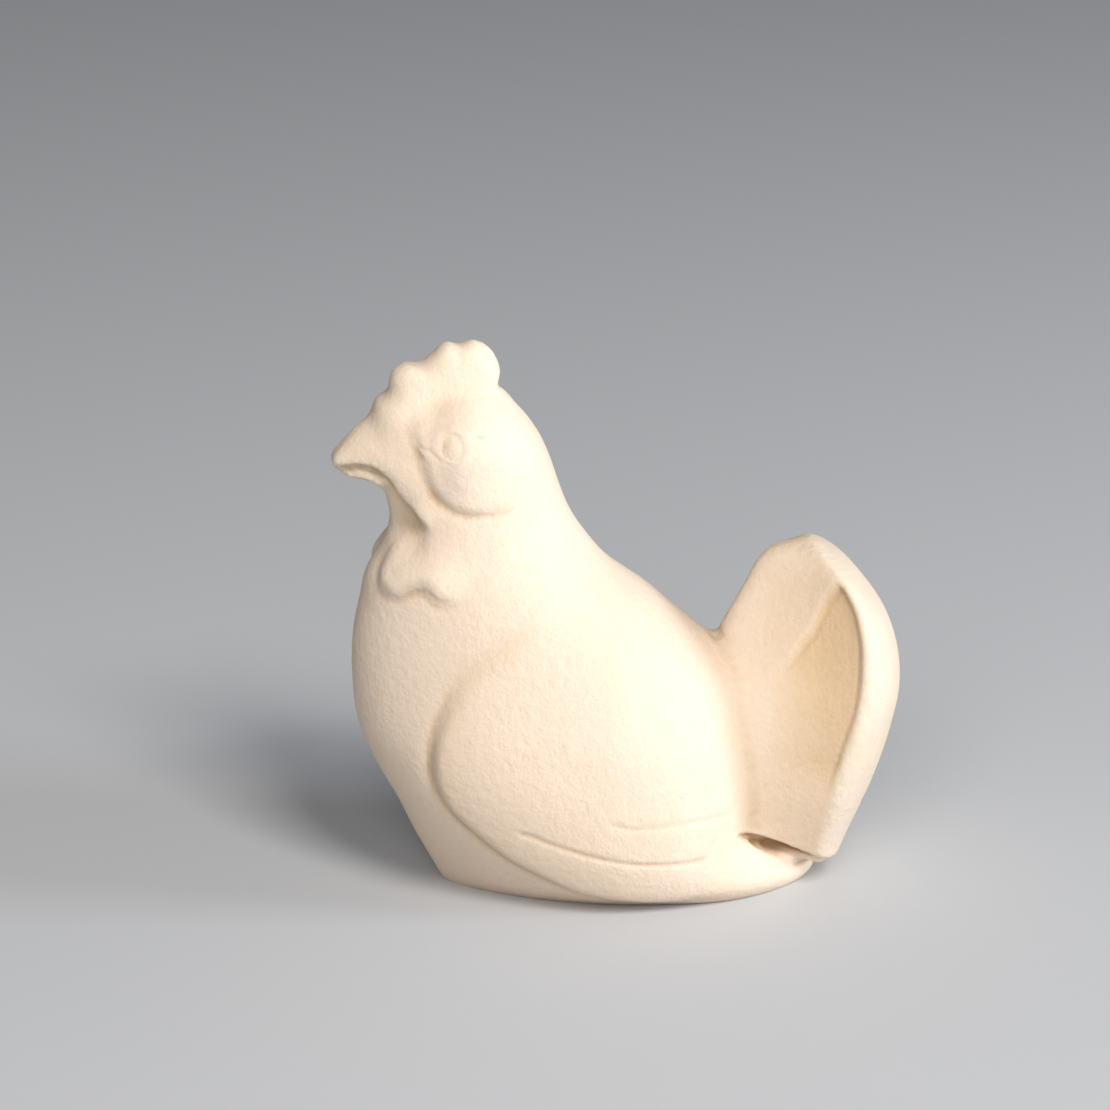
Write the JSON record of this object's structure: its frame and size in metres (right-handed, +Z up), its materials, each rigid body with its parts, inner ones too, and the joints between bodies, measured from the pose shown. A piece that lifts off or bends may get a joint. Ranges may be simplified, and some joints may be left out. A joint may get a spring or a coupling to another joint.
{
  "type": "carved wooden hen figurine",
  "caption": "Small carved wooden figurine of a sitting hen on a flat base, with folded wings and a raised fan tail.",
  "frame": {"origin": "on the flat base, midway between the hen's two sides, under the middle of its length", "axes": "+Z up, -Y towards the beak, +X towards the hen's left side"},
  "size_m": [0.0222, 0.0414, 0.0407],
  "materials": {
    "torso": "bare sanded pale wood",
    "neck": "bare sanded pale wood",
    "head": "bare sanded pale wood",
    "comb": "bare sanded pale wood",
    "beak": "bare sanded pale wood",
    "wattles": "bare sanded pale wood",
    "eyes": "bare sanded pale wood",
    "wings": "bare sanded pale wood",
    "tail": "bare sanded pale wood"
  },
  "bodies": {
    "root": {"torso": "torso", "neck": "neck", "head": "head", "comb": "comb", "beak_upper": "beak", "beak_lower": "beak", "wattle_left": "wattles", "wattle_right": "wattles", "eye_left": "eyes", "eye_right": "eyes", "wing_left": "wings", "wing_right": "wings", "tail": "tail"}
  },
  "joints": []
}
